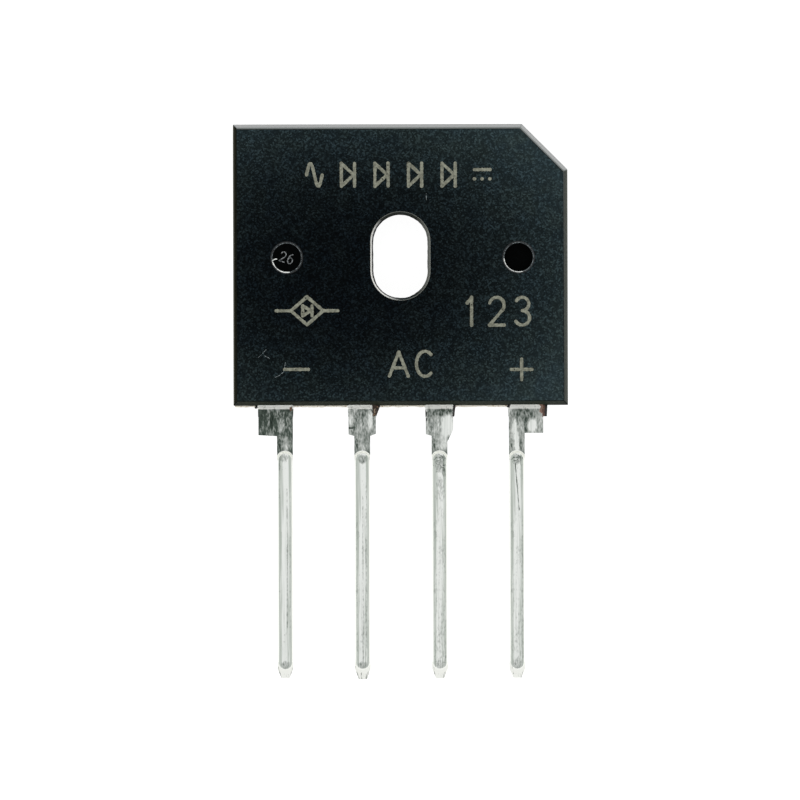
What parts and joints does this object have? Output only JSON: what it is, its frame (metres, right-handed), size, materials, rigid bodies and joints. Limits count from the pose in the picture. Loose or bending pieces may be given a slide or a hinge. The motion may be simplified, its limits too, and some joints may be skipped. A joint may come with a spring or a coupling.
{
  "type": "bridge rectifier",
  "caption": "Flat in-line bridge rectifier: a black drafted moulding with a screw slot and a cut corner, and coined tin-plated leads marked minus, AC and plus.",
  "frame": {"origin": "centre of the screw slot, on the plane of the back (heatsink) face", "axes": "+Z out of the marked face, +Y from the leads towards the top edge, +X towards the plus lead. It lies on its back face, z = 0, with the leads' lower faces 1.45 mm up"},
  "size_m": [0.022, 0.0365, 0.0035],
  "materials": {
    "moulding": "black silica-filled epoxy moulding compound, fine spark-eroded texture",
    "tinned_lead": "dull tin plate over stamped and coined copper",
    "chip": "nickel-faced silicon with a bevelled glass edge",
    "clip_copper": "bare stamped copper",
    "solder": "dull high-lead solder"
  },
  "bodies": {
    "root": {"moulded_body": "moulding", "lead_minus": "tinned_lead", "lead_ac_left": "tinned_lead", "lead_ac_right": "tinned_lead", "lead_plus": "tinned_lead", "chip_ac_right_to_plus": "chip", "chip_ac_left_to_plus": "chip", "chip_minus_to_ac_left": "chip", "chip_minus_to_ac_right": "chip", "clip_ac_right_to_plus": "clip_copper", "clip_ac_left_to_plus": "clip_copper", "clip_minus_to_ac_left": "clip_copper", "clip_minus_to_ac_right": "clip_copper", "die_solder_1": "solder", "die_solder_2": "solder", "die_solder_3": "solder", "die_solder_4": "solder", "contact_solder_1": "solder", "contact_solder_2": "solder", "contact_solder_3": "solder", "contact_solder_4": "solder", "foot_solder_1": "solder", "foot_solder_2": "solder", "foot_solder_3": "solder", "foot_solder_4": "solder"}
  },
  "joints": []
}
